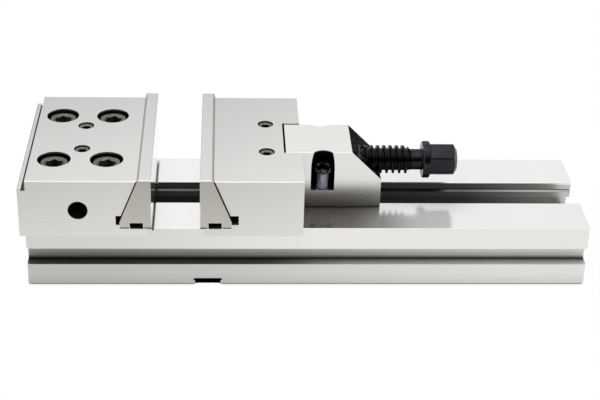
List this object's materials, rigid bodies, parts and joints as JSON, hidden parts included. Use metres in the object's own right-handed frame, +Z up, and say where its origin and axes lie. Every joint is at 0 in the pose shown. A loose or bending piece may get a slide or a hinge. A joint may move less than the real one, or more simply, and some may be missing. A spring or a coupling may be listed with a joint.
{
  "type": "machine vise",
  "caption": "Precision machine vise with ground rails, wedge-backed jaw plates, a nut block that slides in the channel, and a spindle with a hexagon end.",
  "frame": {"origin": "middle of the vise's outline seen from above, on its underside", "axes": "+X from the fixed jaw to the spindle's hexagon, +Z up, -Y towards the viewer"},
  "size_m": [0.3516, 0.125, 0.081],
  "materials": {
    "base_steel": "hardened and ground",
    "jaw_steel": "hardened and ground",
    "plate_steel": "hardened and finely ground",
    "block_steel": "hardened and ground",
    "spindle_steel": "black oxide",
    "screw_steel": "black oxide",
    "hidden_steel": "machined and hardened"
  },
  "bodies": {
    "vise_base": {"base": "base_steel", "fixed_jaw": "jaw_steel", "fixed_jaw_cross_key": "hidden_steel", "fixed_jaw_cap_screws": "screw_steel", "fixed_jaw_plate": "plate_steel", "fixed_plate_set_screws": "screw_steel", "fixed_plate_pull_studs": "hidden_steel"},
    "nut_block": {"nut_block": "block_steel", "block_anchor": "hidden_steel"},
    "movable_jaw": {"movable_jaw": "jaw_steel", "movable_jaw_plate": "plate_steel", "movable_plate_set_screws": "screw_steel", "movable_plate_pull_studs": "hidden_steel", "jaw_hold_down_strip": "hidden_steel", "hold_down_screws": "screw_steel", "thrust_pad": "hidden_steel", "spindle_retaining_pins": "hidden_steel"},
    "spindle": {"spindle": "spindle_steel"},
    "lock_screw_near": {"lock_screw_near": "screw_steel"},
    "lock_screw_far": {"lock_screw_far": "screw_steel"}
  },
  "joints": [
    {"name": "block_slide", "type": "slide", "parent": "vise_base", "child": "nut_block", "axis": [1, 0, 0], "range_m": [-0.005, 0.12]},
    {"name": "jaw_slide", "type": "slide", "parent": "nut_block", "child": "movable_jaw", "axis": [1, 0, 0], "range_m": [-0.024, 0]},
    {"name": "spindle_turn", "type": "hinge", "parent": "movable_jaw", "child": "spindle", "pos_m": [0, 0, 0.0641], "axis": [1, 0, 0], "range_deg": [-2160, 0]},
    {"name": "lock_screw_near_turn", "type": "hinge", "parent": "nut_block", "child": "lock_screw_near", "pos_m": [0.0093, -0.0208, 0.06875], "axis": [0, -0.3746, 0.9272], "range_deg": [0, 180]},
    {"name": "lock_screw_far_turn", "type": "hinge", "parent": "nut_block", "child": "lock_screw_far", "pos_m": [0.0093, 0.0208, 0.06875], "axis": [0, 0.3746, 0.9272], "range_deg": [0, 180]}
  ],
  "couplings": [
    {"joint": "spindle_turn", "follows": "jaw_slide", "rad_per_m": 1570.8}
  ]
}
